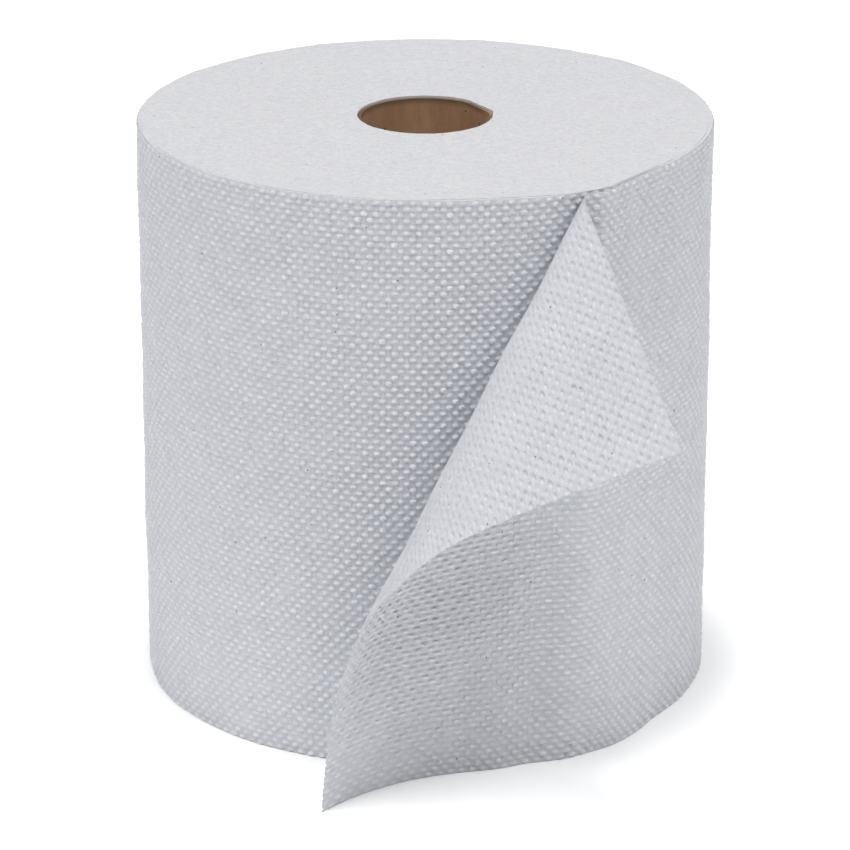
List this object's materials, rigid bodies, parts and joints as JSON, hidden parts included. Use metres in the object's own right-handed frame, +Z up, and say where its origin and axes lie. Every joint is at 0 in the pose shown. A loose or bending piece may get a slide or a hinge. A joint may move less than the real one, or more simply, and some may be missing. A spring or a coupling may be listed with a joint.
{
  "type": "paper towel roll",
  "caption": "Roll of embossed paper towel wound on a paperboard core, its free end leaving the roll, reaching the floor and curling over.",
  "frame": {"origin": "on the roll's axis, in the plane that the roll stands on", "axes": "+Z up along the roll's axis, -Y towards the side where the free end hangs"},
  "size_m": [0.2, 0.2543, 0.2032],
  "materials": {
    "paper": "matt, embossed, soft",
    "paperboard": "matt, spiral wound paperboard"
  },
  "bodies": {
    "root": {"towel_web": "paper", "core_tube": "paperboard"}
  },
  "joints": []
}
